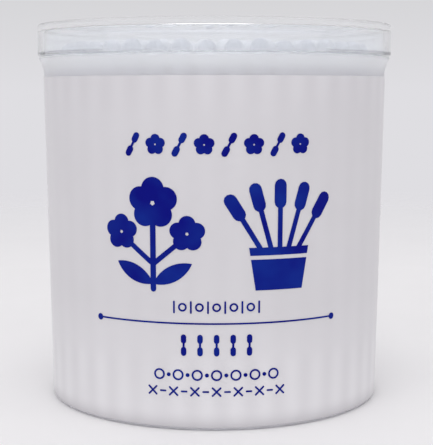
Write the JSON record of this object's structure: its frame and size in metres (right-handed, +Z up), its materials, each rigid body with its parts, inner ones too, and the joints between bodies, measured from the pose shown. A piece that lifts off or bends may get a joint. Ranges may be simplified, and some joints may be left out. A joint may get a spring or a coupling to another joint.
{
  "type": "cotton swab tub",
  "caption": "Round clear plastic tub of double-ended paper cotton swabs, with a translucent film label printed with plain motifs and a low press-on lid",
  "frame": {"origin": "Centre of the tub's foot ring, on the table that the tub stands on", "axes": "+Z up along the tub's axis; -Y is the printed front; +X is to the right of someone facing the front"},
  "size_m": [0.0786, 0.0786, 0.0824],
  "materials": {
    "clear_plastic_tub": "gloss",
    "clear_plastic_lid": "gloss",
    "translucent_film": "satin",
    "print_ink": "satin",
    "rolled_paper": "matte",
    "cotton_lower": "matte",
    "cotton_upper": "matte"
  },
  "bodies": {
    "tub": {"tub": "clear_plastic_tub", "label_film": "translucent_film", "label_print": "print_ink", "paper_stems": "rolled_paper", "lower_cotton_buds": "cotton_lower", "upper_cotton_buds": "cotton_upper"},
    "lid": {"lid": "clear_plastic_lid"}
  },
  "joints": [
    {"name": "lid_lift", "type": "slide", "parent": "tub", "child": "lid", "axis": [0, 0, 1], "range_m": [0, 0.03]}
  ]
}
